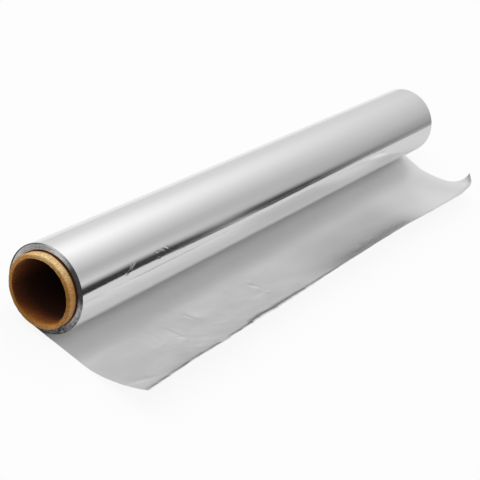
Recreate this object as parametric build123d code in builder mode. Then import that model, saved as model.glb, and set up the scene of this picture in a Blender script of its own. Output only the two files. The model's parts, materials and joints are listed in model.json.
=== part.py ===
"""Household aluminium foil roll: a card core, and one foil web wound on it with a loose tail.

The roll lies on its side. +X runs along the roll's axis, +Z is up, and the free tail lies towards -Y.
The origin is the centre of the core's bore, half-way along the roll. All sizes are in millimetres.
"""

import os
from math import cos, radians, sin, sqrt

from build123d import *

# Card core
core_bore_radius = 13.0
core_wall = 1.65
core_projection = 3.85  # how far the core stands out of the foil at each end
core_rim_round = 0.4  # on the outside only: the bore keeps the square edge of the cut

# Foil web and its winding
web_width = 300.0
winding_slack = 0.1  # radial gap between the core and the first turn
wound_depth = 3.0  # radial build of all the turns
sheet = 0.3  # modelled thickness of one sheet of foil
rest_half_width = 2.5  # half the flat that the roll's own weight presses at its foot

# Spiral of turns that shows on both ends of the winding
turn_pitch = 0.5
turn_groove_width = 0.2
turn_groove_depth = 0.35
turn_band_margin = 0.25  # plain band left at the first turn and at the last

# Free tail: flat on the table from under the axis, then a lip that curls up to the torn edge
tail_flat = 26.0
lip_reach = 27.0
lip_lift = 9.2
lip_slope = 33.0  # degrees at the torn edge
lip_root_handle = 0.37  # share of the reach over which the lip still hugs the table
lip_tip_handle = 0.33  # share of the reach that runs straight into the torn edge

# Far front corner of the tail, which keeps the curl it had on the roll
corner_span = 22.0
corner_reach = 21.7
corner_lift = 13.7
corner_slope = 80.0
corner_root_handle = 0.64
corner_tip_handle = 0.37
corner_rise = 3  # power by which the curl grows towards the corner

# Uneven tear: how much longer or shorter the lip is at even stations from the near end to the corner
tear_line = (0.4, -0.3, -0.6, -1.1, -1.5, -2.1, -2.5, -2.4, -0.2, 0.7)
corner_station_count = 4

core_outer_radius = core_bore_radius + core_wall
core_length = web_width + 2 * core_projection
first_turn_radius = core_outer_radius + winding_slack
roll_radius = first_turn_radius + wound_depth
axis_height = sqrt(roll_radius**2 - rest_half_width**2)
half_web = web_width / 2


def lip_stations():
    """Place along the axis, extra length and share of the corner's curl, for each section of the lip."""
    step = (web_width - corner_span) / (len(tear_line) - 1)
    stations = [(i * step - half_web, extra, 0.0) for i, extra in enumerate(tear_line)]
    for i in range(1, corner_station_count + 1):
        short_of_end = 1 - i / corner_station_count
        place = half_web - corner_span * short_of_end
        stations.append((place, tear_line[-1] * short_of_end, (1 - short_of_end) ** corner_rise))
    return stations


def lip_curve(extra, curl, rise):
    """Control points of one section of the lip, rise above the sheet's underside."""

    def blend(web, corner):
        return web + (corner - web) * curl

    reach = blend(lip_reach, corner_reach)
    lift = blend(lip_lift, corner_lift)
    slope = radians(blend(lip_slope, corner_slope))
    along = Vector(-cos(slope), sin(slope))
    upwards = Vector(sin(slope), cos(slope))
    root = Vector(-tail_flat, rise - axis_height)
    tip = Vector(-tail_flat - reach, lift - axis_height) + along * extra + upwards * rise
    return (
        root,
        root - Vector(reach * blend(lip_root_handle, corner_root_handle), 0),
        tip - along * reach * blend(lip_tip_handle, corner_tip_handle),
        tip,
    )


def turn_spiral(side):
    """Half-turn arcs from the outer turn inwards, side steps off the spiral's own line."""
    outer = roll_radius - sheet - turn_band_margin
    turns = int((outer - first_turn_radius - turn_band_margin) / turn_pitch)
    arcs = []
    for turn in range(turns):
        back_radius = outer - turn * turn_pitch + side
        front_radius = back_radius - turn_pitch / 2
        arcs.append(CenterArc((0, 0), back_radius, -90, 180))
        arcs.append(CenterArc((0, turn_pitch / 2), front_radius, 90, 180))
    return arcs


with BuildPart() as core:
    with BuildSketch(Plane.YZ.offset(-core_length / 2)):
        Circle(core_outer_radius)
        Circle(core_bore_radius, mode=Mode.SUBTRACT)
    extrude(amount=core_length)
    outer_rims = core.edges().filter_by(GeomType.CIRCLE).sort_by(SortBy.RADIUS)[-2:]
    fillet(outer_rims, min(core_rim_round, core_wall / 2))
core.part.label = "core_tube"


with BuildPart() as foil:
    # Wound turns: the last turn runs from the foot up the back, over the top and down the front,
    # one sheet further in, and comes to rest on the tail that leaves under it
    with BuildSketch(Plane.YZ.offset(-half_web)):
        with BuildLine():
            front_radius = roll_radius - sheet / 2
            tail_top = sheet - axis_height
            nip = -sqrt(front_radius**2 - (tail_top - sheet / 2) ** 2)
            back_turn = ThreePointArc(
                (rest_half_width, -axis_height),
                (roll_radius, 0),
                (0, roll_radius),
            )
            front_turn = ThreePointArc(
                back_turn @ 1,
                (-front_radius, sheet / 2),
                (nip, tail_top),
            )
            Polyline(
                front_turn @ 1,
                (-tail_flat, tail_top),
                (-tail_flat, -axis_height),
                back_turn @ 0,
            )
        make_face()
        Circle(first_turn_radius, mode=Mode.SUBTRACT)
    extrude(amount=web_width)

    # Curled lip of the tail, lofted along the roll
    for station, extra, curl in lip_stations():
        with BuildSketch(Plane.YZ.offset(station)):
            with BuildLine():
                underside = Bezier(*lip_curve(extra, curl, 0))
                upper = Bezier(*lip_curve(extra, curl, sheet))
                Line(underside @ 0, upper @ 0)
                Line(underside @ 1, upper @ 1)
            make_face()
    loft()

    # Grooves between the turns on the two ends
    for end, inwards in ((-half_web, 1), (half_web, -1)):
        with BuildSketch(Plane.YZ.offset(end)):
            with BuildLine():
                outer_arcs = turn_spiral(turn_groove_width / 2)
                inner_arcs = turn_spiral(-turn_groove_width / 2)
                Line(outer_arcs[0] @ 0, inner_arcs[0] @ 0)
                Line(outer_arcs[-1] @ 1, inner_arcs[-1] @ 1)
            make_face()
        extrude(amount=inwards * turn_groove_depth, mode=Mode.SUBTRACT)
foil.part.label = "foil_web"


os.makedirs("parts", exist_ok=True)
export_step(core.part, "parts/core_tube.step")
export_step(foil.part, "parts/foil_web.step")
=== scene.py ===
"""Looks of the aluminium foil roll: the web with its loose tail, the edges of its turns, and the card core.

Everything is in metres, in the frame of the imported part: +X along the roll, +Z up, the tail towards -Y.
"""

import json
from functools import partial
from math import atan2, cos, degrees, pi, radians, sin, sqrt, tau

import bmesh
import bpy
import numpy as np
from mathutils import Matrix, Vector, noise


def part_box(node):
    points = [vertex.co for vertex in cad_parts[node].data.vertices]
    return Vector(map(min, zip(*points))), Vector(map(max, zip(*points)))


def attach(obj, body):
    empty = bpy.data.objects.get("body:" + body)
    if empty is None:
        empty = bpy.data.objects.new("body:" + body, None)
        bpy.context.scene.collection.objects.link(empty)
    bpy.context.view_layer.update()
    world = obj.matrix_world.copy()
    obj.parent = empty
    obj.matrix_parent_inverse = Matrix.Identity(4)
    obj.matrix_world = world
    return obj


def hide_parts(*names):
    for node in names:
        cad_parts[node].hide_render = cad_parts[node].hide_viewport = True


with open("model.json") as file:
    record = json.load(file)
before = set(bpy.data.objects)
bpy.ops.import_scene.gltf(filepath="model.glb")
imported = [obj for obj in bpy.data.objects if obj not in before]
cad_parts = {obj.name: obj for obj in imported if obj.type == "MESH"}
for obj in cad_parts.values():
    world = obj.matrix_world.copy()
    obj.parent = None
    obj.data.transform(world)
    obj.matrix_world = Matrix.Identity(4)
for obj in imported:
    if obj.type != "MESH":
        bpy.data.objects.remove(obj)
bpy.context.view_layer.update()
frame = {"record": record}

MM = 0.001

# Sizes read from the frame
foil_low, foil_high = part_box("foil_web")
core_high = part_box("core_tube")[1]
half_web = foil_high.x
roll_radius = foil_high.z
floor_z = foil_low.z
core_radius = core_high.z
core_half_length = core_high.x
core_bore = next(mount for mount in frame["record"]["mounts"] if mount["name"] == "core_bore")
bore_radius = core_bore["dims"]["r_mm"] * MM
axis_height = -floor_z
rest_half_width = sqrt(roll_radius**2 - axis_height**2)
winding_slack = 0.1 * MM
first_turn_radius = core_radius + winding_slack

# Sheet, and where the last turn, half a sheet further in on the front, meets the tail
sheet = 0.05 * MM  # drawn about four times as thick as the foil, so that its edge still shows
front_radius = roll_radius - sheet / 2
nip = sqrt(front_radius**2 - (axis_height - sheet / 2) ** 2)

# Free tail: its lip has the part's own sizes, and the far corner a tighter curl
tail_flat = 26 * MM
web_lip = {"reach": 27 * MM, "lift": 9.2 * MM, "slope": 33.0, "root": 0.37, "tip": 0.33}
corner_lip = {"reach": 22 * MM, "lift": 13.6 * MM, "slope": 76.0, "root": 0.92, "tip": 0.14}
corner_span = 22 * MM
corner_rise = 5  # power by which the curl grows towards the corner
# How far the far cut edge swings out, in mm, at distances from the roll's foot in mm
far_edge_swing = ((3, 0.0), (10, 2.0), (23, -2.2), (34, 0.0), (46, 0.0))
swing_span = 30 * MM

# Tear: how much longer or shorter the lip is, in mm, at places across the web in mm
tear_line = (
    (-150, 1.5), (-119, 0.7), (-88, 1.0), (-79, 0.8), (-76, -0.4), (-66, -0.4), (-60, 0.1),
    (-44, -0.5), (-26, -0.7), (5, -1.6), (35, -1.9), (66, -1.8), (97, 0.3), (128, 1.5),
    (132, 1.2), (137, 0.4), (141, 0.8), (146, 1.1), (150, -0.5),
)
# Jogs of the tear, in mm across the web: between two of them it drifts away from the roll, then steps back
tear_jogs = (-144, -137, -122, -111, -101, -95, -85.5, -78, -71, -58, -33, -4, 24, 47, 71, 96, 118, 131)
tear_jog_height = 0.4  # mm
# The torn edge is rolled over by a hair, and folded over along one stretch
edge_turn = radians(65)  # how far it turns over
edge_rows = 6  # rows of the mesh round that turn
edge_roll_near, edge_roll_far, fold_roll = 0.5 * MM, 0.2 * MM, 0.9 * MM
fold_starts, fold_ends = (-81 * MM, -75 * MM), (-62 * MM, -10 * MM)
# Beyond the middle the edge also curls up further
curl_rises, curl_falls = (-25 * MM, 25 * MM), (65 * MM, 98 * MM)
curl_width, curl_lift = 10 * MM, 1.3 * MM
curl_extra = 2.3  # mm of extra length
# How much the edge is crumpled, 0 to 1, at places across the web in mm, and how far that bends it up
crumple_line = (
    (-150, 0.5), (-139, 0.8), (-130, 1.0), (-102, 1.0), (-100, 0.05), (-96, 0.05),
    (-94, 1.0), (-60, 1.0), (0, 0.9), (40, 0.4),
)
edge_bend = 0.45 * MM

# Turn edges on the ends, and the band that they stand in
turn_band_depth, core_gap_depth = 0.35 * MM, 2 * MM
turn_sizes = {
    "Outer Radius": roll_radius - 0.32 * MM,
    "Inner Radius": first_turn_radius + 0.5 * MM,
    "Turn Pitch": 0.5 * MM,  # coarser than the real turns, so that they show
    "Edge Thickness": 0.45 * MM,
    "Edge Height": 0.5 * MM,
    "Unevenness": 0.35 * MM,
    "Half Web": half_web - 0.32 * MM,
    "Seed": 4.0,
}

# Card core: rounded rims, plies that part at the cut, and a near rim that is pressed flat and nicked
core_rim_round = 0.45 * MM
ply_gap_radius = bore_radius + 0.55 * MM
core_fray = 0.14 * MM
core_out_of_round, out_of_round_angle = 0.2 * MM, radians(15)
pressed_middle, pressed_half = radians(62), radians(18)
nick_middle, nick_half, nick_depth = radians(217), radians(17), 1.6 * MM
# Angles round the core where painted shade darkens the raw cut most
shaded_cut_angles = radians(150), radians(297)
# Depth over which painted shade darkens the bore
bore_shade_depth = 10 * MM  # how far into the bore the lining goes on darkening

# Stage
table_half_size, tent_radius = 6.0, 4.0
lamp_aim = (0.35, -0.35, -1)
light_side = (0.7, 0.55, 0.45)
bearing_point = (-0.55, 0.384)
dark_sheet_outline = (
    (0.30, -0.34), (0.233, -0.256), (0.19, -0.197), (0.247, -0.197), (0.318, -0.224), (0.39, -0.246),
    (0.43, -0.25), (0.50, -0.27), (0.47, -0.22), (0.475, -0.20), (4.2, -1.75), (4.4, -4.0),
)

# Camera at the photograph's place, aimed from the middle of the roll's axis
camera_azimuth = -67.82
camera_elevation = 30.848
camera_roll = 24.0
camera_distance = 590.45 * MM
camera_sideways = -9.1 * MM
camera_upwards = -24.04 * MM
camera_lens, camera_sensor = 96.077, 36  # mm


def hex_colour(text):
    """Linear RGBA of an sRGB hex colour."""
    channels = [int(text[i : i + 2], 16) / 255 for i in (1, 3, 5)]
    return [c / 12.92 if c <= 0.04045 else ((c + 0.055) / 1.055) ** 2.4 for c in channels] + [1.0]


def add_node(tree, kind, inputs=(), stops=(), **settings):
    """Adds a node with its settings, and returns it. ShaderNode may be left off the kind.

    Inputs go by name, or in the order of the sockets in use. Each is a value, a hex colour, a socket, or a
    node that stands for its first output in use. Stops are a colour ramp's: place, and grey level or colour.
    """
    node = tree.nodes.new(kind if "Node" in kind else "ShaderNode" + kind)
    for name, value in settings.items():
        setattr(node, name, value)
    if not isinstance(inputs, dict):
        in_use = [key for key, socket in enumerate(node.inputs) if socket.enabled]
        inputs = dict(zip(in_use, inputs))
    for key, value in inputs.items():
        if isinstance(value, bpy.types.Node):
            value = next(socket for socket in value.outputs if socket.enabled)
        if isinstance(value, bpy.types.NodeSocket):
            tree.links.new(value, node.inputs[key])
        else:
            node.inputs[key].default_value = hex_colour(value) if isinstance(value, str) else value
    if stops:
        elements = node.color_ramp.elements
        while len(elements) < len(stops):
            elements.new(0.5)
        for element, (place, level) in zip(elements, stops):
            element.position = place
            element.color = hex_colour(level) if isinstance(level, str) else (level, level, level, 1.0)
    return node


def new_nodes(name, owners=bpy.data.materials):
    """A material, or a world, that has no nodes yet, and a function that adds nodes to it."""
    owner = owners.new(name)
    owner.use_nodes = True
    owner.node_tree.nodes.clear()
    return owner, partial(add_node, owner.node_tree)


# Materials


def bright_foil():
    """Rolled aluminium foil, the side that met the polished roller: a mirror, smeared along the roll's axis
    by fine rolling lines that run round it, with faint streaks and a slow waviness."""
    material, add = new_nodes("bright_rolled_foil")
    uv = add("UVMap", uv_map="web")
    # Rolling lines: 0.35 mm apart across the web, coarser than real ones so that they show, and 60 mm long
    lines_at = add("Mapping", {"Vector": uv, "Scale": (1 / 0.35e-3, 1 / 60e-3, 1)})
    lines = add("TexNoise", {"Vector": lines_at, "Scale": 1.0})
    # Draw streaks along the axis, about 3 mm wide and 90 mm long, where turns lie a little slack
    streaks_at = add("Mapping", {"Vector": uv, "Scale": (1 / 90e-3, 1 / 3e-3, 1)})
    streaks = add("TexNoise", {"Vector": streaks_at, "Scale": 1.0, "Detail": 3.0})
    rough = add("MapRange", (streaks, 0.3, 0.7, 0.08, 0.125))
    lined = add("Bump", {"Height": lines, "Strength": 0.05, "Distance": 0.02 * MM})
    waved = add("Bump", {"Height": streaks, "Strength": 0.35, "Distance": 0.06 * MM, "Normal": lined})
    tangent = add("Tangent", direction_type="UV_MAP", uv_map="web")
    smeared = {"Anisotropic": 0.5, "Tangent": tangent, "Normal": waved}
    shader = add("BsdfPrincipled", {"Base Color": "#f3f3f3", "Metallic": 1.0, "Roughness": rough, **smeared})
    add("OutputMaterial", [shader])
    return material


def matte_foil():
    """The other side of the foil, which met another sheet in the mill: an even satin grey with no clear
    reflection, a fine grain, and soft crinkles from handling."""
    material, add = new_nodes("matte_rolled_foil")
    uv = add("UVMap", uv_map="web")
    # Grain 0.3 mm across the web and 2 mm along it
    grain_at = add("Mapping", {"Vector": uv, "Scale": (1 / 0.3e-3, 1 / 2e-3, 1)})
    grain = add("TexNoise", {"Vector": grain_at, "Scale": 1.0, "Detail": 3.0})
    # Handling crinkles 12 mm across the web and 7 mm along it
    crinkle_at = add("Mapping", {"Vector": uv, "Scale": (1 / 12e-3, 1 / 7e-3, 1)})
    crinkle = add("TexNoise", {"Vector": crinkle_at, "Scale": 1.0, "Detail": 4.0, "Roughness": 0.55})
    rough = add("MapRange", (crinkle, 0.3, 0.7, 0.40, 0.46))
    # Where the edge was curled over a finger it is burnished: smoother, and free of crinkles
    burnish = add("Attribute", attribute_name="burnish").outputs["Fac"]
    sheen = add("Math", (burnish, -0.22, rough), operation="MULTIPLY_ADD")
    plain = add("Math", (1.0, burnish), operation="SUBTRACT")
    height = add("Math", (crinkle, plain), operation="MULTIPLY")
    fine = add("Bump", {"Height": grain, "Strength": 0.2, "Distance": 0.02 * MM})
    soft = add("Bump", {"Height": height, "Strength": 0.4, "Distance": 0.25 * MM, "Normal": fine})
    # Painted shade greys the foil along the bent torn edge, over the curl, and at the near end and far corner
    painted_shade = add("Attribute", attribute_name="painted_shade").outputs["Fac"]
    tint = add("Mix", (painted_shade, "#f3f3f3", "#959595"), data_type="RGBA")
    shader = add("BsdfPrincipled", {"Base Color": tint, "Metallic": 1.0, "Roughness": sheen, "Normal": soft})
    add("OutputMaterial", [shader])
    return material


def foil_edges():
    """Cut edges of the stacked turns: grey rings that scatter light, because most of it is lost in the gaps
    between the sheets."""
    material, add = new_nodes("cut_foil_edges")
    xyz = add("SeparateXYZ", [add("TexCoord").outputs["Object"]]).outputs
    angle = add("Math", (xyz["Z"], xyz["Y"]), operation="ARCTAN2")
    across = add("CombineXYZ", {"Y": xyz["Y"], "Z": xyz["Z"]})
    radius = add("VectorMath", [across], operation="LENGTH")
    # Rings 0.55 mm apart, coarser than the real sheets so that they show, each fading in and out over 9 mm
    ring = add("Math", (radius, 1 / 0.55e-3), operation="MULTIPLY")
    slow = add("Mapping", {"Vector": across, "Scale": (0, 1 / 9e-3, 1 / 9e-3)})
    lifted = add("CombineXYZ", {"X": ring})
    rings_at = add("VectorMath", (slow, lifted), operation="ADD")
    rings = add("TexNoise", {"Vector": rings_at, "Scale": 1.0, "Detail": 1.0})
    lines = add("MapRange", (rings, 0.3, 0.7, 0.2, 0.8))
    # Scuffs 0.8 mm across
    scuffs = add("TexNoise", {"Vector": across, "Scale": 1 / 0.8e-3, "Detail": 3.0})
    worn = add("Math", (scuffs, 0.5, lines), operation="MULTIPLY_ADD")
    # Painted fans of light and shade, as concentric edges show them: bright on top, dark in front, scuffed
    # towards the foot
    turn = add("Math", (angle, 1 / tau), operation="MULTIPLY")
    share = add("Math", (turn, 1.0), operation="FLOORED_MODULO")
    top_fan = ((0.06, 0.85), (0.18, 0.86), (0.25, 1.5), (0.29, 0.66))
    front_fan = ((0.33, 0.09), (0.44, 0.08), (0.475, 0.75))
    foot_fan = ((0.54, 0.82), (0.64, 0.42), (0.78, 0.42), (1.0, 0.85))
    fans = add("ValToRGB", [share], top_fan + front_fan + foot_fan)
    lit = add("Math", (worn, fans), operation="MULTIPLY")
    # Bent and scuffed turns, 1.2 mm across, where the roll was set down on its end
    dents = add("TexNoise", {"Vector": across, "Scale": 1 / 1.2e-3})
    dented = add("MapRange", (dents, 0.3, 0.7, -0.32, 0.22))
    foot = add("ValToRGB", [share], ((0.42, 0.0), (0.46, 1.0), (0.62, 1.0), (0.75, 0.3), (1.0, 0.0)))
    level = add("Math", (dented, foot, lit), operation="MULTIPLY_ADD")
    shine = add("MapRange", (level, 0.0, 0.95))
    tint = add("Mix", (shine, "#1c1d1f", "#eef2f7"), data_type="RGBA")
    # A thin dark line painted along the last turn's edge, hardly seen over the top and the front
    rim_line = add("MapRange", (radius, roll_radius - 0.55 * MM, roll_radius - 0.3 * MM))
    back_stops = ((0.16, 0.9), (0.2, 0.1), (0.5, 0.1), (0.55, 0.6), (0.8, 0.6), (1.0, 0.9))
    back = add("ValToRGB", [share], back_stops)
    rim = add("Math", (rim_line, back), operation="MULTIPLY")
    edged = add("Mix", (rim, tint, "#303336"), data_type="RGBA")
    # The gap round the core is painted near black, as painted shade
    gap_start, gap_end = first_turn_radius + 0.28 * MM, first_turn_radius + 0.36 * MM
    gap = add("MapRange", (radius, gap_start, gap_end, 1.0, 0.0))
    gapped = add("Mix", (gap, edged, "#0c0c0d"), data_type="RGBA")
    shader = add("BsdfPrincipled", {"Base Color": gapped, "Metallic": 0.2, "Roughness": 0.5})
    add("OutputMaterial", [shader])
    return material


def kraft_board():
    """Spiral-wound kraft board: a warm brown paper with short fibres and flecks, a butt joint that runs round
    it as a helix, and a darker, fuzzy cut at the ends."""
    material, add = new_nodes("kraft_board")
    place = add("TexCoord").outputs["Object"]
    xyz = add("SeparateXYZ", [place]).outputs
    angle = add("Math", (xyz["Z"], xyz["Y"]), operation="ARCTAN2")
    # Fibres 0.35 mm wide and 1.5 mm long, laid along the tube, coarse enough to show
    fibre_at = add("Mapping", {"Vector": place, "Scale": (1 / 1.5e-3, 1 / 0.35e-3, 1 / 0.35e-3)})
    fibre = add("TexNoise", {"Vector": fibre_at, "Scale": 1.0, "Detail": 4.0, "Roughness": 0.65})
    # Mottling of the pulp, 4 mm across
    mottle = add("TexNoise", {"Vector": place, "Scale": 1 / 4e-3, "Detail": 3.0})
    # Butt joint of the outer ply: a helix with a lead of 70 mm
    turn = add("Math", (angle, 1 / tau), operation="MULTIPLY")
    seam_turn = add("Math", (turn, 0.45), operation="ADD")
    run = add("Math", (xyz["X"], 1 / 70e-3, seam_turn), operation="MULTIPLY_ADD")
    wrap = add("Math", (run, 1.0), operation="PINGPONG")
    joint = add("MapRange", (wrap, 0.0, 0.006))
    # The side that faces up is painted paler: a painted highlight of the light from above
    brown = add("Mix", (mottle, "#d18a48", "#eab873"), data_type="RGBA")
    painted_highlight = add("Mix", (mottle, "#ecc888", "#f8e2ae"), data_type="RGBA")
    top = add("MapRange", (xyz["Z"], 9.5 * MM, 14 * MM))
    paper = add("Mix", (top, brown, painted_highlight), data_type="RGBA")
    speck = add("MapRange", (fibre, 0.34, 0.5))
    flecked = add("Mix", (speck, "#bd8340", paper), data_type="RGBA")
    jointed = add("Mix", (joint, "#8c5a2a", flecked), data_type="RGBA")
    # The raw cut at the ends is browner than the calendered face of the paper
    cut = add("Attribute", attribute_name="raw_cut").outputs["Fac"]
    coloured = add("Mix", (cut, jointed, "#9c6a23"), data_type="RGBA")
    # The lining ply in the bore is a redder, recycled board that the light hardly reaches; its darkening
    # inwards is painted shade, and the same mask paints shade on the outside where the paper comes out of the
    # foil
    lining_and_shade = add("Attribute", attribute_name="lining_and_shade").outputs["Fac"]
    shaded_lining_browns = ((0.0, "#bd7a30"), (0.3, "#96561e"), (0.65, "#6a3411"), (1.0, "#3a1a0a"))
    inwards = add("ValToRGB", [lining_and_shade], shaded_lining_browns)
    edge_of_lining_shade = add("MapRange", (lining_and_shade, 0.0, 0.25))
    lined = add("Mix", (edge_of_lining_shade, coloured, inwards), data_type="RGBA")
    # Coarse pulp shows as grain 0.5 mm across on the paper, and more so on the cut
    pulp = add("TexNoise", {"Vector": place, "Scale": 1 / 0.5e-3})
    grain = add("MapRange", (pulp, 0.3, 0.7, 0.5, 1.35))
    coarse = add("Math", (cut, 0.7, 0.45), operation="MULTIPLY_ADD")
    grained = add("Mix", (coarse, lined, grain), data_type="RGBA", blend_type="MULTIPLY")
    bump = add("Bump", {"Height": fibre, "Strength": 0.5, "Distance": 0.08 * MM})
    shader = add("BsdfPrincipled", {"Base Color": grained, "Roughness": 0.85, "Normal": bump})
    add("OutputMaterial", [shader])
    return material


# Foil web


def bezier(points, t):
    """Cubic Bezier through arrays of control points, at the shares t."""
    a, b, c, d = (p[:, None, :] for p in points)
    t = t[None, :, None]
    return (1 - t) ** 3 * a + 3 * (1 - t) ** 2 * t * b + 3 * (1 - t) * t**2 * c + t**3 * d


def stations(ends, spacings):
    """Places along a line, about a spacing apart in each of the spans between the ends."""
    places = []
    for start, end, spacing in zip(ends, ends[1:], spacings):
        count = max(1, round(abs(end - start) / spacing))
        places.extend(np.linspace(start, end, count, endpoint=False))
    return np.array([*places, ends[-1]])


def run_lengths(rows):
    """How far along its row each point lies."""
    steps = np.diff(rows, axis=1, prepend=rows[:, :1])
    return np.cumsum(np.linalg.norm(steps, axis=2), axis=1)


def row_directions(rows):
    """Unit direction of its row at each point."""
    ahead = np.gradient(rows, axis=1)
    return ahead / np.linalg.norm(ahead, axis=2, keepdims=True)


def fade(distance, reach):
    """1 at no distance, and evenly down to 0 at the reach."""
    return np.clip(1 - distance / reach, 0, 1)


def smooth_step(value, start, end):
    """0 before start, 1 after end, and an even S between."""
    t = np.clip((value - start) / (end - start), 0, 1)
    return t * t * (3 - 2 * t)


def noise_field(first, second, sizes, seed, basis="PERLIN_ORIGINAL"):
    """Noise from -1 to 1 over two arrays of places, in a pattern of two sizes in mm."""
    pairs = zip((first / (sizes[0] * MM)).ravel(), (second / (sizes[1] * MM)).ravel())
    flat = [noise.noise(Vector((a, b, seed)), noise_basis=basis) for a, b in pairs]
    return np.array(flat).reshape(first.shape)


def crease_height(across, along, creases):
    """Height of listed creases: across, along, length, width and height in mm, turn in degrees."""
    total = np.zeros(across.shape)
    for place, distance, length, width, height, turn in creases:
        c, s = cos(radians(turn)), sin(radians(turn))
        a, b = across / MM - place, along / MM - distance
        lengthways, sideways = a * c + b * s, b * c - a * s
        tapered = fade((2 * lengthways / length) ** 2, 1) ** 1.5
        total += height * tapered * np.exp(-np.abs(sideways / width) ** 1.1)
    return total * MM


# Creases on the roll's face: place across the web, arc from the top of the roll, length, width, height, turn
roll_creases = (
    (-121.4, 18, 5.2, 0.2, -0.04, -29),
    (-120.9, 17.3, 3, 0.18, 0.035, -32),
    (-119.4, 17.6, 4.4, 0.18, 0.05, -33),
    (-124.6, 19.6, 2.6, 0.25, -0.02, -31),
    (-123.2, 19.9, 2.4, 0.25, 0.02, -31),
    (-104.5, 15.9, 3.4, 0.25, 0.03, -3),
    (-104, 16.2, 3, 0.25, -0.04, 34),
    (-103, 19, 2.6, 0.45, -0.03, 34),
    (-99.4, 17, 4.4, 0.25, -0.02, 31),
    (-98.3, 16.6, 4.4, 0.25, 0.02, 39),
    (-97.2, 16.4, 3.6, 0.25, -0.02, 36),
    (-104.3, 5.9, 5, 0.3, 0.012, -34),
    (-102.6, 6.5, 4.6, 0.3, 0.012, -31),
    (86.4, 19.1, 2, 0.6, -0.03, 10),
)

# Creases on the tail: place across the web, distance from the roll's foot, and so on
tail_creases = (
    (-88.9, 31.1, 5, 0.7, 0.2, 66),
    (-86, 34, 10, 3, -0.2, 66),
    (-79.9, 31.1, 14, 2.2, 0.12, 9),
    (-104.5, 34.1, 14, 2.5, 0.28, 81),
    (-102.9, 35, 10, 1, -0.1, 80),
    (-105, 38.4, 5, 0.6, 0.2, 46),
    (-93.9, 36.7, 14, 3, 0.2, 142),
    (-105, 48.7, 8, 0.6, 0.14, 23),
    (-109, 47.6, 5, 0.6, -0.12, 10),
    (-101, 45.6, 6, 0.7, 0.12, 15),
    (-81.8, 44.3, 6, 0.8, -0.16, 20),
    (-143.1, 49, 16, 2, 0.28, 36),
    (-134, 53.6, 9, 0.9, 0.12, 17),
    (-44.1, 34.7, 7, 0.7, 0.26, 64),
    (-43.1, 30.7, 5, 0.8, -0.16, 16),
    (-44.6, 41.1, 5, 0.8, -0.18, 75),
    (-49.3, 40.1, 16, 3, 0.22, -2),
    (20, 40, 16, 1.4, 0.12, 95),
    (64, 36, 12, 1.2, 0.12, 80),
)


def edge_curl(x):
    """Share of the extra curl along the torn edge, which stands up most beyond the middle of the web."""
    return smooth_step(x, *curl_rises) * (1 - smooth_step(x, *curl_falls))


def edge_fold(x):
    """Share of the one stretch where the torn edge is folded over: 0 to 1 at each column."""
    return smooth_step(x, *fold_starts) * (1 - smooth_step(x, *fold_ends))


def edge_crumple(x):
    """How crumpled the torn edge is at each column: 0 to 1, and most just before each jog."""
    level = np.interp(x / MM, *zip(*crumple_line))
    return level * (0.35 + 0.65 * np.maximum(tear_stretch(x), edge_fold(x)))


def rolled_edge(x):
    """Length of the torn edge that is rolled over at each column."""
    far = smooth_step(x, 0, 40 * MM)
    corner = smooth_step(x, half_web - corner_span, half_web)
    uneven = 0.9 + 0.5 * noise_field(x, np.zeros_like(x), (5, 1), 2.9)
    hair = edge_roll_near + (edge_roll_far - edge_roll_near) * far
    return (hair * np.clip(uneven, 0.4, 1.4) + fold_roll * edge_fold(x)) * (1 - 0.9 * corner)


def tear_length(x):
    """Slow line of the tear: extra length of the lip at each column."""
    even = np.linspace(-half_web, half_web, 601)
    reach = 6  # places on either side that are averaged in
    kernel = np.hanning(2 * reach + 1)
    slow = np.pad(np.interp(even / MM, *zip(*tear_line)), reach, mode="edge")
    slow = np.interp(x, even, np.convolve(slow, kernel / kernel.sum(), mode="valid"))
    return (slow + curl_extra * edge_curl(x)) * MM


def tear_stretch(x):
    """How far along its stretch of the tear, from one jog to the next, each column lies: 0 to 1."""
    jogs = np.array(tear_jogs) * MM
    step = np.searchsorted(jogs, x, side="right")
    start = np.append(-half_web, jogs)[step]
    end = np.append(jogs, half_web)[step]
    return (x - start) / (end - start)


def ragged_edge(x):
    """What the jogs of the tear and the rolled edge add to the lip's length, or take from it."""
    drift = tear_jog_height * (tear_stretch(x) - 0.5)
    ragged = 0.12 * noise_field(x, np.zeros_like(x), (1.9, 1), 8.4)
    quiet = smooth_step(half_web - x, 0, 12 * MM)
    return (drift + ragged) * quiet * MM - 0.5 * rolled_edge(x)


def lip_points(x, tear):
    """Control points of the lip's underside at every column, from its root on the table to its torn tip."""
    curl = fade(half_web - x, corner_span) ** corner_rise
    lip = {key: web_lip[key] + (corner_lip[key] - web_lip[key]) * curl for key in web_lip}
    slope = np.radians(lip["slope"])
    along = np.stack([-np.cos(slope), np.sin(slope)], axis=1)
    root = np.stack([np.full_like(x, -tail_flat), np.full_like(x, floor_z)], axis=1)
    tip = np.stack([-tail_flat - lip["reach"], floor_z + lip["lift"]], axis=1) + along * tear[:, None]
    root_handle = root - np.stack([lip["reach"] * lip["root"], np.zeros_like(x)], axis=1)
    tip_handle = tip - along * (lip["reach"] * lip["tip"])[:, None]
    return root, root_handle, tip_handle, tip


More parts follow.
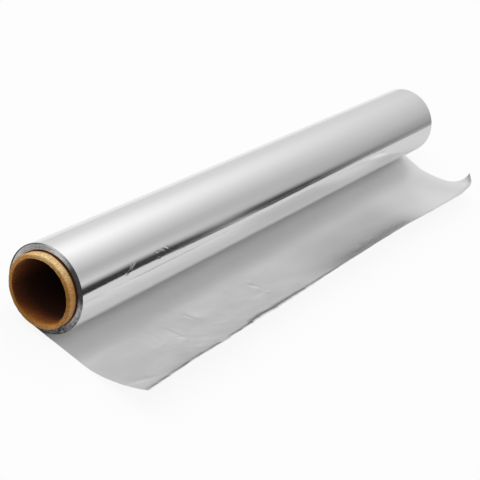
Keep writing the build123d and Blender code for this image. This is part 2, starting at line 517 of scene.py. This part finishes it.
def lip_underside(x):
    """Rows of the lip's underside at every column, from the rim of the rolled edge to the lip's root."""
    shares = 1 - stations((0, 0.06, 0.7, 1), (0.012, 0.024, 0.045))
    lip = bezier(lip_points(x, tear_length(x)), shares)
    # The ragged edge stretches or shortens only the last few millimetres of the lip
    pull = fade(run_lengths(lip), 8 * MM) ** 1.5
    lip = lip - row_directions(lip) * (ragged_edge(x)[:, None] * pull)[..., None]
    # Beyond the lip's tip the edge turns over and hangs
    slope = np.arctan2(lip[:, 0, 1] - lip[:, 1, 1], lip[:, 1, 0] - lip[:, 0, 0])
    edge = [lip[:, 0]]
    for step in range(edge_rows):
        dip = slope - edge_turn * (step + 0.5) / edge_rows
        ahead = np.stack([-np.cos(dip), np.sin(dip)], axis=1)
        edge.append(edge[-1] + ahead * (rolled_edge(x) / edge_rows)[:, None])
    rolled = np.stack(edge[:0:-1], axis=1)
    return np.hstack([rolled, lip])


def rows_on_table(x, y):
    """The same rows on the table at every column."""
    return np.broadcast_to(np.stack([y, np.full_like(y, floor_z)], axis=1), (len(x), len(y), 2))


def tail_lift(x, from_edge, from_foot):
    """How far the loose sheet stands off its plain line at every column and row of the tail."""
    across = np.broadcast_to(x[:, None], from_foot.shape)
    # It never lies quite flat: it lifts in slow waves, and in ripples on the near half
    free = np.clip((from_foot - 6 * MM) / (20 * MM), 0, 1)
    far = smooth_step(across, -40 * MM, 30 * MM)
    waves = 0.12 * (1 + noise_field(across, from_foot, (38, 24), 1.7)) * free
    ripples = 0.03 * (1 + noise_field(across, from_foot, (7, 11), 5.2)) * free * (1 - far)
    # Where it was gripped it is pressed into broad soft facets
    gripped = np.exp(-(((across + 95 * MM) / (45 * MM)) ** 2)) * smooth_step(from_foot, 20 * MM, 32 * MM)
    facets = 0.32 * (1 + noise_field(across, from_foot, (17, 13), 3.7))
    facets += 0.05 * (1 + noise_field(across, from_foot, (5, 4), 9.1, "VORONOI_F2F1"))
    crumples = facets * (0.25 + 0.75 * gripped) * free * (1 - 0.85 * far)
    lift = (waves + ripples + crumples) * MM + free * crease_height(across, from_foot, tail_creases)
    # Its torn edge curls further, and is bent up where it is crumpled
    lift += curl_lift * edge_curl(x)[:, None] * fade(from_edge, curl_width) ** 2
    bend_width = ((2.6 + 1.4 * edge_fold(x)) * MM)[:, None]
    lift += edge_bend * edge_crumple(x)[:, None] * fade(from_edge, bend_width) ** 2
    return np.maximum(lift, 0)


def tail_shade_and_burnish(x, from_edge, from_foot):
    """Shares, at every column and row of the tail, of painted shade that greys the foil and of burnishing."""
    curl, fold, crumple = (share(x)[:, None] for share in (edge_curl, edge_fold, edge_crumple))
    # The bend behind the torn edge is creased, gets painted shade and is burnished, widest along the fold;
    # the lip stays light
    wide = (1.3 + 0.6 * fold) * MM
    inside = smooth_step(from_edge, 0.2 * MM, 0.8 * MM)
    crumpled = 0.62 * crumple * fade(from_edge - wide, 1.4 * wide) ** 1.5
    rubbed = 0.9 * crumple * (1 - smooth_step(from_edge, wide, 2.5 * wide))
    # So is the curl beyond the middle, where painted shade also darkens the sheet further in
    broad = 0.28 * (1 - smooth_step(from_edge, 16 * MM, 40 * MM))
    curl_shade = curl * (broad + 0.10 * fade(from_edge, 11 * MM) ** 1.3)
    curled = 0.85 * curl * (1 - smooth_step(from_edge, 6 * MM, 18 * MM))
    # The near end and the far corner get painted shade too
    near = smooth_step(x, -138 * MM, -128 * MM) * (1 - smooth_step(x, -104 * MM, -92 * MM))
    near_end_shade = 0.28 * near[:, None] * fade(from_edge, 8 * MM)
    far_end = smooth_step(x, 112 * MM, 138 * MM) * (1 - 0.7 * smooth_step(x, 139 * MM, 148 * MM))
    corner = 0.15 * far_end[:, None] * smooth_step(from_foot, 20 * MM, 30 * MM)
    painted_shade = np.maximum(np.maximum(crumpled, curl_shade), near_end_shade) * inside + corner
    return {"painted_shade": painted_shade, "burnish": np.maximum(curled, rubbed)}


def last_turn(x):
    """Rows of the last turn at every column, from the foot up the back, over the top and down to the nip."""
    start = -atan2(axis_height, rest_half_width)
    end = pi + atan2(axis_height - sheet / 2, nip)
    # Closest together on the upper front, where the creases are
    ends = (degrees(start), 100, 138, 156, 160, degrees(end))
    angles = np.radians(stations(ends, (5.5, 2.5, 0.4, 1, 4)))[:-1]
    on_front = (angles > radians(90)).astype(float)
    base_radius = roll_radius - on_front * sheet / 2
    centre_z = on_front * sheet / 2
    across = np.broadcast_to(x[:, None], (len(x), len(angles)))
    arcs = np.broadcast_to(((angles - radians(90)) * roll_radius)[None, :], across.shape)
    # Turns wound with uneven pull leave long shallow bands along the roll and a slight waviness
    clear = np.clip((angles - start) / 0.5, 0, 1) * np.clip((end - angles) / 0.5, 0, 1)
    bands = 0.014 * noise_field(across, arcs, (140, 7), 2.3)
    dimples = 0.006 * noise_field(across, arcs, (14, 5), 6.6)
    bulge = (bands + dimples) * MM * clear + crease_height(across, arcs, roll_creases)
    radius = base_radius[None, :] + bulge
    return np.stack([radius * np.cos(angles), radius * np.sin(angles) + centre_z], axis=2)


def web_sections():
    """The closed outline of the foil in the YZ plane at every column across the web.

    Rows run along the tail's underside from the torn edge, under the roll, up its back, over the top and
    down its front to the nip, and back along the tail's upper side to the torn edge.
    """
    # Spans across the web and the spacing of columns in each, in mm: closest where the web is creased
    ends = (-half_web / MM, -126, -117, -107, -95, -84, -50, -38, 122, half_web / MM)
    x = stations(ends, (1, 0.18, 0.4, 0.22, 0.41, 0.95, 0.45, 1.75, 0.8)) * MM
    flat = rows_on_table(x, stations((-tail_flat, -nip), [1.4 * MM])[1:])
    plain = np.hstack([lip_underside(x), flat])
    from_edge = run_lengths(plain)
    from_foot = nip + from_edge[:, -1:] - from_edge
    along_row = row_directions(plain)
    upwards = np.stack([-along_row[..., 1], along_row[..., 0]], axis=2)
    # The rolled rows lift with the lip's tip
    lifted = upwards.copy()
    lifted[:, :edge_rows] = lifted[:, edge_rows : edge_rows + 1]
    underside = plain + lifted * tail_lift(x, from_edge, from_foot)[..., None]
    upper = underside + upwards * sheet
    # The cut edge at the far end swings a little where the tail runs out of the roll
    end_share = fade(half_web - x, swing_span) ** 2
    swing = np.interp(from_foot / MM, *zip(*far_edge_swing)) * MM
    tail_x = x[:, None] + end_share[:, None] * swing

    foot = rows_on_table(x, stations((-nip, rest_half_width), [1.2 * MM])[1:-1])
    roll = np.hstack([foot, last_turn(x)])
    roll_x = np.broadcast_to(x[:, None], roll.shape[:2])
    places = np.hstack([tail_x, roll_x, tail_x[:, ::-1]])
    section = np.hstack([underside, roll, upper[:, ::-1]])
    points = np.concatenate([places[..., None], section], axis=2)
    # The tail's painted shade and burnish; the roll gets none
    worn = {}
    for name, share in tail_shade_and_burnish(x, from_edge, from_foot).items():
        worn[name] = np.hstack([share, np.zeros_like(roll_x), share[:, ::-1]]).ravel()
    return points, worn, underside.shape[1]


def foil_web_mesh():
    """The whole web as one closed mesh: bright outside, matte inside of the tail, and the two cut ends."""
    bright, matte, cut_edge = range(3)
    grid, worn, tail = web_sections()
    columns, rows = grid.shape[:2]
    nip_row = rows - tail
    points = grid.reshape(-1, 3).tolist()
    faces, slots, coordinates = [], [], []

    # The web's own coordinates: across it, and along it from the torn edge; both sides of the tail share them
    along = run_lengths(grid[..., 1:])
    nip_along = along[:, nip_row].copy()
    along[:, nip_row:] = along[:, tail - 1 :: -1]
    across = grid[:, rows // 2, 0]

    def corner(column, row):
        return column * rows + row % rows

    for c in range(columns - 1):
        for r in range(rows):
            faces.append((corner(c, r), corner(c + 1, r), corner(c + 1, r + 1), corner(c, r + 1)))
            slots.append(bright if r < nip_row else matte if r < rows - 1 else cut_edge)
            a = along[c, r]
            b = nip_along[c] if r == nip_row - 1 else along[c, (r + 1) % rows]
            coordinates.extend([(across[c], a), (across[c + 1], a), (across[c + 1], b), (across[c], b)])

    def cap(*corners):
        faces.append(corners)
        slots.append(cut_edge)
        coordinates.extend([(0, 0)] * 4)

    def band(first, second):
        for i in range(len(first)):
            j = (i + 1) % len(first)
            cap(first[i], first[j], second[j], second[i])

    # Ends: the thin edge of the tail, then the outermost turn, a sunk band behind the turn edges, a deep gap
    # round the core, and the seat of the first turn
    seat = first_turn_radius
    rings = (
        (0.10 * MM, 0.0),
        (0.16 * MM, turn_band_depth),
        (seat + 0.32 * MM, turn_band_depth),
        (seat + 0.30 * MM, core_gap_depth),
        (seat, core_gap_depth),
    )
    ring_rows = range(tail - 1, nip_row + 1)
    seats = []
    for column, outward in ((0, -1), (columns - 1, 1)):
        for r in range(tail - 1):
            upper = rows - 1 - r
            cap(*(corner(column, row) for row in (r, r + 1, upper - 1, upper)))
        previous = [corner(column, r) for r in ring_rows]
        for reach, sunk in rings:
            ring = []
            for r in ring_rows:
                _, y, z = grid[column, r]
                radius = sqrt(y * y + z * z)
                kept = reach if reach >= seat else radius - reach
                ring.append(len(points))
                points.append((outward * (half_web - sunk), y / radius * kept, z / radius * kept))
            band(previous, ring)
            previous = ring
        seats.append(previous)
    band(*seats)

    mesh = new_mesh("foil_skin", points, faces, worn)
    mesh.polygons.foreach_set("material_index", slots)
    web = mesh.uv_layers.new(name="web")
    web.data.foreach_set("uv", np.array(coordinates, dtype=np.float32).ravel())
    return finish_mesh(mesh, sharp_angle=35)


def new_mesh(name, points, faces, shares={}):
    """A mesh with named shares at its first points, which materials read; at the others they are 0."""
    mesh = bpy.data.meshes.new(name)
    mesh.from_pydata(points, [], faces)
    for share, values in shares.items():
        padded = np.pad(values, (0, len(points) - len(values)))
        mesh.attributes.new(share, "FLOAT", "POINT").data.foreach_set("value", padded)
    return mesh


def finish_mesh(mesh, sharp_angle):
    """Turns the faces outwards, and shades smoothly up to an edge angle in degrees."""
    work = bmesh.new()
    work.from_mesh(mesh)
    bmesh.ops.recalc_face_normals(work, faces=work.faces)
    work.to_mesh(mesh)
    work.free()
    mesh.polygons.foreach_set("use_smooth", [True] * len(mesh.polygons))
    mesh.set_sharp_from_angle(angle=radians(sharp_angle))
    mesh.update()
    return mesh


def new_object(name, data):
    """An object in the scene."""
    made = bpy.data.objects.new(name, data)
    bpy.context.scene.collection.objects.link(made)
    return made


def place_piece(name, mesh, node, materials=()):
    """A finished piece at the origin that rides on the one body and stands for a node of the part."""
    piece = new_object(name, mesh)
    for material in materials:
        mesh.materials.append(material)
    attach(piece, "root")
    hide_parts(node)


# Edges of the turns


def turn_edge_tree(edge_material):
    """Geometry nodes: a spiral of turn edges on each end of the roll, uneven as the cut web leaves them."""
    tree = bpy.data.node_groups.new("turn_edges", "GeometryNodeTree")
    tree.interface.new_socket("Geometry", in_out="OUTPUT", socket_type="NodeSocketGeometry")
    for name in turn_sizes:
        tree.interface.new_socket(name, in_out="INPUT", socket_type="NodeSocketFloat")
    add = partial(add_node, tree)
    given = add("NodeGroupInput").outputs
    outer, inner = given["Outer Radius"], given["Inner Radius"]
    build = add("Math", (outer, inner), operation="SUBTRACT")
    turns = add("Math", (build, given["Turn Pitch"]), operation="DIVIDE")
    points_per_turn, rise = 150, 0.0
    spiral = add("GeometryNodeCurveSpiral", (points_per_turn, turns, outer, inner, rise))
    outline = add("GeometryNodeCurvePrimitiveCircle", {"Resolution": 6, "Radius": 0.5})
    profile_size = add("CombineXYZ", (given["Edge Thickness"], given["Edge Height"], 1.0))
    profile = add("GeometryNodeTransform", {"Geometry": outline, "Scale": profile_size})
    ends = []
    for side in (-1.0, 1.0):
        seed = add("Math", (given["Seed"], side), operation="ADD")
        here = add("GeometryNodeInputPosition")
        # The turns stray in and out every 1.1 mm or so
        rough = add("TexNoise", {"Vector": here, "W": seed, "Scale": 900.0}, noise_dimensions="4D")
        centred = add("Math", (rough, 0.5), operation="SUBTRACT")
        stray = add("Math", (centred, given["Unevenness"]), operation="MULTIPLY")
        offset = add("CombineXYZ", {"Z": stray})
        uneven = add("GeometryNodeSetPosition", {"Geometry": spiral, "Offset": offset})
        upright = add("GeometryNodeSetCurveNormal", [uneven], mode="Z_UP")
        edge = add("GeometryNodeCurveToMesh", {"Curve": upright, "Profile Curve": profile, "Fill Caps": True})
        reach = add("Math", (given["Half Web"], side), operation="MULTIPLY")
        at_end = add("CombineXYZ", {"X": reach})
        # The spiral's plane is turned from XY to YZ
        to_end = {"Geometry": edge, "Translation": at_end, "Rotation": (radians(90), 0, radians(90))}
        ends.append(add("GeometryNodeTransform", to_end))
    both = add("GeometryNodeJoinGeometry")
    for end in reversed(ends):
        tree.links.new(end.outputs[0], both.inputs[0])
    real = add("GeometryNodeRealizeInstances", [both])
    smooth = add("GeometryNodeSetShadeSmooth", [real])
    dressed = add("GeometryNodeSetMaterial", {"Geometry": smooth, "Material": edge_material})
    add("NodeGroupOutput", [dressed])
    return tree


def grown_mesh(name, tree, sizes):
    """Runs a geometry node tree on an empty object with its sizes set, and returns the plain mesh."""
    seedling = new_object(name, bpy.data.meshes.new(name))
    modifier = seedling.modifiers.new(name, "NODES")
    modifier.node_group = tree
    for socket in tree.interface.items_tree:
        if socket.in_out == "INPUT":
            modifier[socket.identifier] = sizes[socket.name]
    graph = bpy.context.evaluated_depsgraph_get()
    mesh = bpy.data.meshes.new_from_object(seedling.evaluated_get(graph), depsgraph=graph)
    bpy.data.objects.remove(seedling)
    return mesh


# Card core


def bore_shade(depth, angle):
    """How dark the painted shade on the lining is, 0 to 1, at a depth of 0 to 1 and an angle in degrees round
    the bore.

    Light reaches furthest at the upper back and along the foot, less far along the back, and hardly at all
    on the side turned away.
    """
    foot = smooth_step(angle, 172, 222) * (1 - smooth_step(angle, 255, 315))
    turned = (angle + 180) % 360 - 180
    back = smooth_step(turned, -30, 0) * (1 - smooth_step(turned, 60, 95))
    upper_back = back * smooth_step(turned, 5, 35)
    return depth ** (0.2 + 0.9 * foot + 0.2 * back + 0.7 * upper_back) * (1 - 0.35 * back)


def core_section():
    """Half of the tube's section, from the middle of the outside round the end to the middle of the bore:
    place, radius, share of raw cut, and share of lining and painted shade."""
    end, gap = core_half_length, ply_gap_radius
    half = [(x, core_radius, 0.0, 1.0) for x in stations((0, half_web - MM), [12 * MM])]
    # Painted shade where the paper comes out of the foil
    for x, shade in ((0.05, 0.35), (0.3, 0.06), (0.6, 0.0), (1.6, 0.0), (2.6, 0.0)):
        half.append((half_web + x * MM, core_radius, 0.0, shade))
    half.append((end - 0.8 * MM, core_radius, 0.0, 0.0))
    half.append((end - core_rim_round, core_radius, 0.25, 0.0))
    for step in range(1, 6):
        a = step / 5 * pi / 2
        x, radius = end - core_rim_round * (1 - sin(a)), core_radius - core_rim_round * (1 - cos(a))
        half.append((x, radius, min(1.0, 0.4 + 0.2 * step), 0.0))
    # Across the cut the plies part a little
    for sunk, radius, cut, lining_and_shade in (
        (0.0, gap + 0.35 * MM, 1.0, 0.0),
        (0.05, gap + 0.18 * MM, 1.0, 0.0),
        (0.22, gap, 1.0, 0.0),
        (0.10, gap - 0.15 * MM, 1.0, 0.0),
        (0.02, bore_radius + 0.25 * MM, 0.95, 0.0),
        (0.06, bore_radius + 0.08 * MM, 0.9, 0.0),
        (0.25, bore_radius, 0.9, 0.02),
    ):
        half.append((end - sunk * MM, radius, cut, lining_and_shade))
    for x in stations((end - 0.8 * MM, end - 20 * MM, 0), (1.6 * MM, 12 * MM)):
        half.append((x, bore_radius, 1.0, min(1.0, (end - x) / bore_shade_depth)))
    return half


def core_mesh():
    """The card tube as one closed mesh, with frayed ends and a near rim that is pressed flat and nicked."""
    end = core_half_length
    half = core_section()
    loop = half + [(-x, r, cut, lining_and_shade) for x, r, cut, lining_and_shade in reversed(half[1:-1])]
    count = 240
    points, cuts, lining_shades = [], [], []
    for i in range(count):
        a = tau * i / count
        pressed = 1 - cos(pressed_half) / cos(min(abs(a - pressed_middle), pressed_half))
        nick = max(0.0, 1 - abs(a - nick_middle) / nick_half)
        for x, r, cut, lining_and_shade in loop:
            at_end = np.exp(-(((end - abs(x)) / (7 * MM)) ** 2))
            place = Vector((x * 40, cos(a) * 5, sin(a) * 5))
            fuzz = noise.noise(place * 4) * 0.5 + noise.noise(place * 1.3) * 0.5
            frayed = core_fray * fuzz * at_end
            thick = frayed * 0.7 if r > ply_gap_radius else -frayed * 0.7
            flat = 0.4 * pressed * at_end * r if x < 0 else 0.0
            worn_wall = 0.65 * nick * np.exp(-(((end + x) / nick_depth) ** 2))
            r += worn_wall * (core_radius - r)
            oval = core_out_of_round * cos(2 * (a - out_of_round_angle))
            oval *= np.exp(-(((end - abs(x)) / (5 * MM)) ** 2))
            radius = r + oval + min(thick, 0.02 * MM) - flat
            side = 1 if x > 0 else -1
            points.append((x + side * min(frayed, 0.05 * MM), radius * cos(a), radius * sin(a)))
            # Painted shade on the raw cut: more of its darker colour in front and at the lower back
            cut_shade = max(0.0, *(cos(a - shaded_angle) for shaded_angle in shaded_cut_angles))
            cuts.append(cut * (0.4 + 0.6 * cut_shade**2) * (1 - 0.4 * nick))
            lining_shades.append(bore_shade(lining_and_shade, degrees(a)))
    rows = len(loop)
    faces = []
    for i in range(count):
        for r in range(rows):
            j, s = (i + 1) % count, (r + 1) % rows
            faces.append((i * rows + r, i * rows + s, j * rows + s, j * rows + r))
    mesh = new_mesh("core_board", points, faces, {"raw_cut": cuts, "lining_and_shade": lining_shades})
    return finish_mesh(mesh, sharp_angle=50)


# Stage: table, reflected studio, lamp and camera


def ray_kinds(add):
    """Two switches: 1 for rays from the camera, and 1 for rays that show what gloss or glass mirrors."""
    path = add("LightPath").outputs
    gloss, glass = path["Is Glossy Ray"], path["Is Transmission Ray"]
    return path["Is Camera Ray"], add("Math", (gloss, glass), operation="MAXIMUM")


def stage_piece(mesh, material, only_mirrored=False):
    """A piece of the stage; one that is only mirrored neither shows, lights nor shades."""
    material.cycles.emission_sampling = "NONE"
    mesh.materials.append(material)
    piece = new_object(mesh.name, mesh)
    if only_mirrored:
        for ray in ("camera", "diffuse", "shadow", "transmission", "volume_scatter"):
            setattr(piece, "visible_" + ray, False)


def studio_table():
    """A white table top that keeps a faint shadow of the object."""
    material, add = new_nodes("white_table")
    lit = add("BsdfDiffuse", {"Color": "#dfdfdf"})
    # The camera sees mostly plain white; gloss sees the table with painted shade in front, and white behind
    # the roll
    from_camera, mirrored = ray_kinds(add)
    xyz = add("SeparateXYZ", [add("TexCoord").outputs["Object"]]).outputs
    back = add("MapRange", (xyz["Y"], -0.05, 0.30))
    behind = add("ValToRGB", [back], ((0.0, 0.5), (0.14, 0.5), (0.24, 0.52), (0.45, 0.30), (1.0, 0.40)))
    in_gloss = add("Math", (mirrored, behind), operation="MULTIPLY")
    washed = add("Math", (from_camera, 0.9, in_gloss), operation="MULTIPLY_ADD")
    shade = add("ValToRGB", [back], ((0.14, 0.58), (0.24, 1.0), (0.45, 0.95), (1.0, 0.55)))
    shaded = add("Mix", (mirrored, (1, 1, 1, 1), shade), data_type="RGBA")
    white = add("Emission", [shaded])
    shader = add("MixShader", (washed, lit, white))
    add("OutputMaterial", [shader])
    size, z = table_half_size, floor_z - 0.05 * MM
    corners = (-size, -size, z), (size, -size, z), (size, size, z), (-size, size, z)
    stage_piece(new_mesh("table", corners, [range(4)]), material)


def dark_reflection_sheet():
    """A dark sheet on the table's far corner, which only the metal sees: it paints a dark reflection on the
    roll's front.
    """
    material, add = new_nodes("dark_reflection_sheet")
    # Its grey follows the bearing from a point behind the roll, so each stretch of the roll mirrors its own
    xyz = add("SeparateXYZ", [add("TexCoord").outputs["Object"]]).outputs
    beyond = add("Math", (xyz["X"], bearing_point[0]), operation="SUBTRACT")
    ahead = add("Math", (bearing_point[1], xyz["Y"]), operation="SUBTRACT")
    bearing = add("Math", (beyond, ahead), operation="DIVIDE")
    stretch = add("MapRange", (bearing, 1.0, 1.75))
    near_greys = ((0.33, 0.03), (0.355, 0.38), (0.425, 0.38), (0.465, 0.07))
    far_greys = ((0.64, 0.05), (0.72, 0.11), (0.83, 0.27), (1.0, 0.33))
    grey = add("ValToRGB", [stretch], near_greys + far_greys)
    shader = add("Emission", [grey])
    add("OutputMaterial", [shader])
    corners = [(x, y, floor_z - 0.03 * MM) for x, y in dark_sheet_outline]
    mesh = new_mesh("dark_reflection_sheet", corners, [range(len(corners))])
    stage_piece(mesh, material, only_mirrored=True)


def studio_tent():
    """The room that the metal mirrors: a pale tent, bright over the near end, and a dark gap low in front."""
    material, add = new_nodes("studio_tent")
    place = add("TexCoord").outputs["Object"]
    direction = add("VectorMath", [place], operation="NORMALIZE")
    xyz = add("SeparateXYZ", [direction]).outputs
    # Height round the roll's axis: 0 at the back horizon, 0.5 overhead, 1 at the front horizon
    angle = add("Math", (xyz["Z"], xyz["Y"]), operation="ARCTAN2")
    share = add("Math", (angle, 1 / pi), operation="MULTIPLY")
    near_back = ((0.0, 0.69), (0.13, 0.76), (0.27, 1.01), (0.36, 1.08), (0.44, 0.96))
    near_front = ((0.58, 0.655), (0.70, 0.455), (0.76, 0.485), (0.83, 0.64))
    near_side = add("ValToRGB", [share], near_back + near_front)
    far_back = ((0.0, 0.69), (0.27, 0.75), (0.44, 0.70))
    far_front = ((0.62, 0.61), (0.74, 0.53), (0.84, 0.42), (0.92, 0.36))
    far_side = add("ValToRGB", [share], far_back + far_front)
    along = add("MapRange", (xyz["X"], 0.70, 0.875))
    room = add("Mix", (along, near_side, far_side), data_type="RGBA")
    # The end walls: the near one pale, the far one in shade
    walls = add("ValToRGB", [xyz["X"]], ((0.3, 1.08), (0.68, 1.0), (0.885, 0.98), (0.98, 0.5)))
    walled = add("Mix", (1.0, room, walls), data_type="RGBA", blend_type="MULTIPLY")
    # The dark gap hangs lower or higher along the room, and closes towards the far end
    near_hang = ((0.704, 0.058), (0.73, 0.064), (0.745, 0.058), (0.759, 0.042), (0.774, 0.020))
    far_hang = ((0.785, 0.012), (0.797, 0.030), (0.813, 0.036), (0.822, 0.030), (0.833, 0.015))
    hang = add("ValToRGB", [xyz["X"]], near_hang + far_hang)
    raised = add("Math", (share, hang), operation="ADD")
    height = add("Math", (raised, 0.05), operation="SUBTRACT")
    gap = add("ValToRGB", [height], ((0.865, 1.0), (0.895, 0.62), (0.93, 0.06), (1.0, 0.04)))
    middle_closing = ((0.773, 0.0), (0.781, 0.6), (0.789, 0.6), (0.798, 0.05))
    far_closing = ((0.828, 0.0), (0.845, 0.22), (0.89, 0.85))
    closing = add("ValToRGB", [xyz["X"]], middle_closing + far_closing)
    gap_level = add("Mix", (closing, gap, (1, 1, 1, 1)), data_type="RGBA")
    shown = add("Mix", (1.0, walled, gap_level), data_type="RGBA", blend_type="MULTIPLY")
    shader = add("Emission", [shown])
    add("OutputMaterial", [shader])
    lowest = -0.3  # below the table, where the tent is cut off
    work = bmesh.new()
    bmesh.ops.create_uvsphere(work, u_segments=96, v_segments=48, radius=tent_radius)
    bmesh.ops.delete(work, geom=[v for v in work.verts if v.co.z < lowest], context="VERTS")
    mesh = bpy.data.meshes.new("studio_tent")
    work.to_mesh(mesh)
    work.free()
    stage_piece(mesh, material, only_mirrored=True)


def studio_lamp():
    """One very soft lamp, high over the near end and a little behind, which the metal doesn't mirror."""
    data = bpy.data.lights.new("soft_lamp", "SUN")
    data.energy = 1.2
    data.angle = radians(70)
    lamp = new_object("soft_lamp", data)
    lamp.rotation_euler = Vector(lamp_aim).to_track_quat("-Z", "Y").to_euler()
    lamp.visible_glossy = False


def studio_world():
    """White behind everything that the camera, gloss or glass sees; a plain light from above for the rest,
    weaker from the side where the camera stands."""
    bpy.context.scene.world, add = new_nodes("studio", bpy.data.worlds)
    place = add("TexCoord").outputs["Generated"]
    towards_light = add("VectorMath", (place, light_side), operation="DOT_PRODUCT")
    room = add("MapRange", (towards_light, -0.5, 0.4, 0.12, 0.95))
    seen = add("Math", ray_kinds(add), operation="MAXIMUM")
    white = add("Mix", (seen, room, 1.0))
    sky = add("Background", {"Color": (1, 1, 1, 1), "Strength": white})
    add("OutputWorld", [sky])


def photograph_camera():
    """The camera where the photograph was taken from, turned about its own axis as the photograph is."""
    data = bpy.data.cameras.new("photograph")
    data.lens = camera_lens
    data.sensor_width = camera_sensor
    data.sensor_fit = "HORIZONTAL"
    data.clip_start = 10 * MM
    camera = new_object("photograph", data)
    camera.matrix_world = (
        Matrix.Rotation(radians(camera_azimuth), 4, "Z")
        @ Matrix.Rotation(radians(90 - camera_elevation), 4, "X")
        @ Matrix.Rotation(radians(camera_roll), 4, "Z")
        @ Matrix.Translation((camera_sideways, camera_upwards, camera_distance))
    )
    bpy.context.scene.camera = camera


edge_material = foil_edges()
place_piece("foil_skin", foil_web_mesh(), "foil_web", (bright_foil(), matte_foil(), edge_material))
turns = grown_mesh("turn_edges", turn_edge_tree(edge_material), turn_sizes)
place_piece("turn_edges", turns, "foil_web")
place_piece("core_board", core_mesh(), "core_tube", (kraft_board(),))

studio_table()
dark_reflection_sheet()
studio_tent()
studio_world()
studio_lamp()
photograph_camera()
bpy.context.scene.view_settings.view_transform = "Standard"
